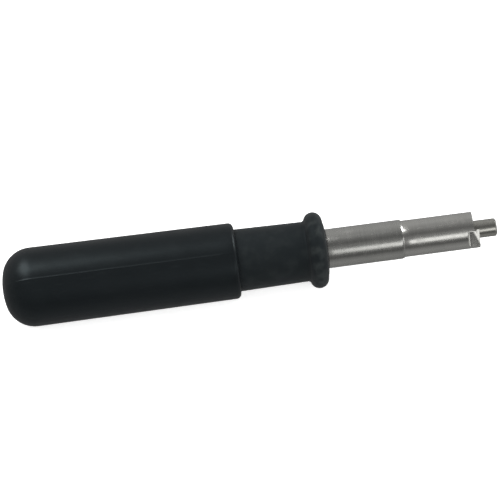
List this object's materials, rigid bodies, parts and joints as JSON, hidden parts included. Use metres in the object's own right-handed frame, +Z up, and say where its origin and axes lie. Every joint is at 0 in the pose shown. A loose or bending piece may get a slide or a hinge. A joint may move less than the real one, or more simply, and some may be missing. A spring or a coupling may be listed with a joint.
{
  "type": "spring-pin hand tool",
  "caption": "Straight hand tool with a domed black grip, beaded finger collar, stepped steel barrel, notched and lugged nose and a sprung centre pin.",
  "frame": {"origin": "middle of the tool's length, on the axis, level with the surface the tool lies on", "axes": "+X along the tool's axis from the butt to the pin, +Z up as the tool lies; the nose's deep notch faces 42 degrees from +Z towards +Y, with its lug opposite"},
  "size_m": [0.1512, 0.024, 0.0241],
  "materials": {
    "grip": "satin moulded black grip",
    "collar": "matte black rubber",
    "core": "hard moulded nylon",
    "barrel_steel": "fine turned stainless",
    "nose_steel": "fine turned, milled flats",
    "pin_steel": "ground, slightly darker",
    "spring_steel": "oiled spring steel",
    "zinc_steel": "zinc plated"
  },
  "bodies": {
    "handle": {"grip_sleeve": "grip", "finger_collar": "collar", "handle_core": "core", "barrel": "barrel_steel", "tang_washer": "zinc_steel", "tang_nut": "zinc_steel", "cross_pin": "zinc_steel", "nose": "nose_steel", "pin_spring": "spring_steel", "spring_seat": "zinc_steel"},
    "plunger": {"centre_pin": "pin_steel", "retaining_ring": "spring_steel", "thrust_washer": "zinc_steel"}
  },
  "joints": [
    {"name": "pin_slide", "type": "slide", "parent": "handle", "child": "plunger", "axis": [1, 0, 0], "range_m": [-0.0054, 0], "stiffness_N_per_m": 1800, "springref_m": 0.003, "deforming": ["pin_spring"]}
  ]
}
